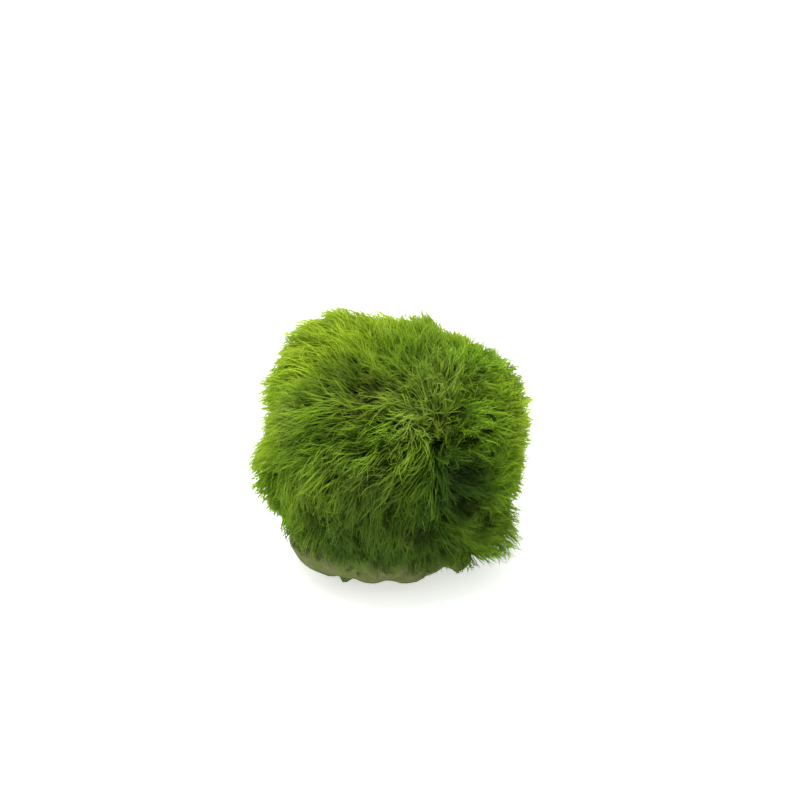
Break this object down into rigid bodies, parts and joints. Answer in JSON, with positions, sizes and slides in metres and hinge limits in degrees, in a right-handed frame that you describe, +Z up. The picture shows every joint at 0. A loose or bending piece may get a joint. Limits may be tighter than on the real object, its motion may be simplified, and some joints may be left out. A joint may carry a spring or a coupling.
{
  "type": "marimo moss ball",
  "caption": "Soft green ball of matted algae filaments, parted on one side and combed outwards in locks, resting on a small flat spot.",
  "frame": {"origin": "on the resting surface, under the middle of the ball's box", "axes": "+Z up, -Y towards the side that the picture shows, +X to that side's right"},
  "size_m": [0.051, 0.0492, 0.0447],
  "materials": {
    "moss": "matte, wet green filaments, yellower at the tips and darker at the roots"
  },
  "bodies": {
    "root": {"moss_ball": "moss"}
  },
  "joints": []
}
